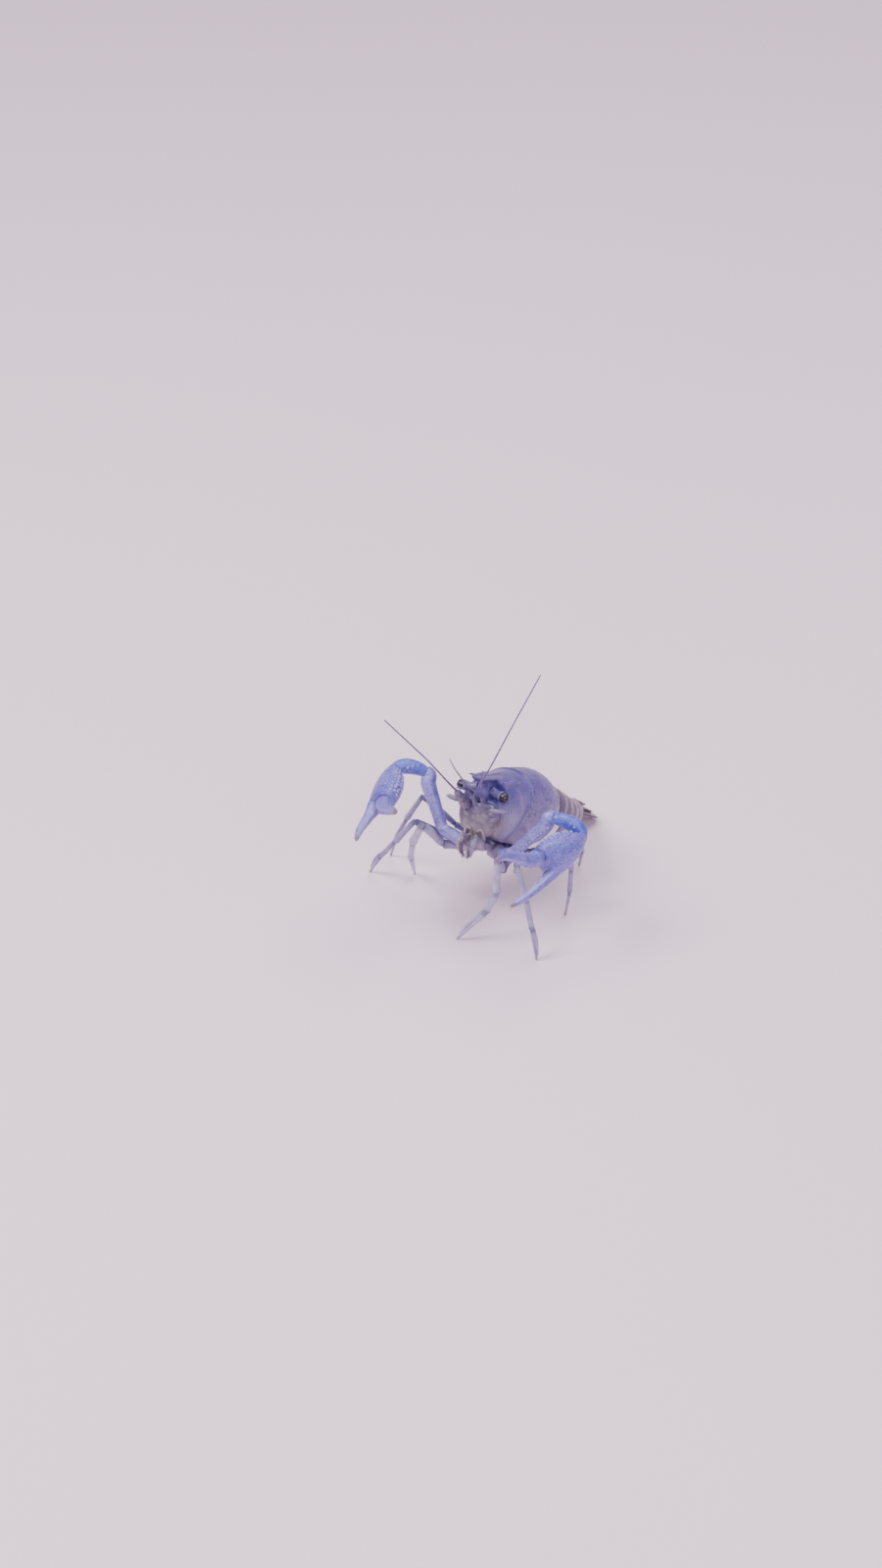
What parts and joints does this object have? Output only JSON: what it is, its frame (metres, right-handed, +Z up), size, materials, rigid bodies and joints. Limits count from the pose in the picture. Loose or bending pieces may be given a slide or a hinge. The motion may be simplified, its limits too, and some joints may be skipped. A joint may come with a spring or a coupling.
{
  "type": "life-size everglades crayfish model",
  "caption": "Blue freshwater crayfish standing on its walking legs with both claws raised and open, beaked head, long feelers, ringed tail and tail fan, as a still museum-style model.",
  "frame": {"origin": "middle of the model's whole box, on the floor that its eight feet stand on; the tail fan ends 0.3 mm above it", "axes": "the animal faces -Y, its left side is +X, +Z is up"},
  "size_m": [0.0752, 0.1024, 0.0957],
  "materials": {
    "shell": "satin, finely pitted",
    "claw": "satin, with pale tubercles",
    "leg": "satin",
    "tail": "satin, mottled",
    "eye": "glossy",
    "feeler": "satin"
  },
  "bodies": {
    "root": {"head_shell": "shell", "thorax_shell": "shell", "chest": "leg", "abdomen_1": "tail", "abdomen_2": "tail", "abdomen_3": "tail", "abdomen_4": "tail", "abdomen_5": "tail", "abdomen_6": "tail", "telson": "tail", "tail_fan_inner_left": "tail", "tail_fan_outer_left": "tail", "eyestalk_left": "feeler", "eye_left": "eye", "antenna_base_left": "feeler", "antenna_scale_left": "feeler", "antenna_left": "feeler", "antennule_left": "feeler", "mouth_leg_left": "leg", "claw_left_arm": "claw", "claw_left_wrist": "claw", "claw_left_palm": "claw", "claw_left_finger": "claw", "leg_1_left_upper": "leg", "leg_1_left_lower": "leg", "leg_2_left_upper": "leg", "leg_2_left_lower": "leg", "leg_3_left_upper": "leg", "leg_3_left_lower": "leg", "leg_4_left_upper": "leg", "leg_4_left_lower": "leg", "tail_fan_inner_right": "tail", "tail_fan_outer_right": "tail", "eyestalk_right": "feeler", "eye_right": "eye", "antenna_base_right": "feeler", "antenna_scale_right": "feeler", "antenna_right": "feeler", "antennule_right": "feeler", "mouth_leg_right": "leg", "claw_right_arm": "claw", "claw_right_wrist": "claw", "claw_right_palm": "claw", "claw_right_finger": "claw", "leg_1_right_upper": "leg", "leg_1_right_lower": "leg", "leg_2_right_upper": "leg", "leg_2_right_lower": "leg", "leg_3_right_upper": "leg", "leg_3_right_lower": "leg", "leg_4_right_upper": "leg", "leg_4_right_lower": "leg"}
  },
  "joints": []
}
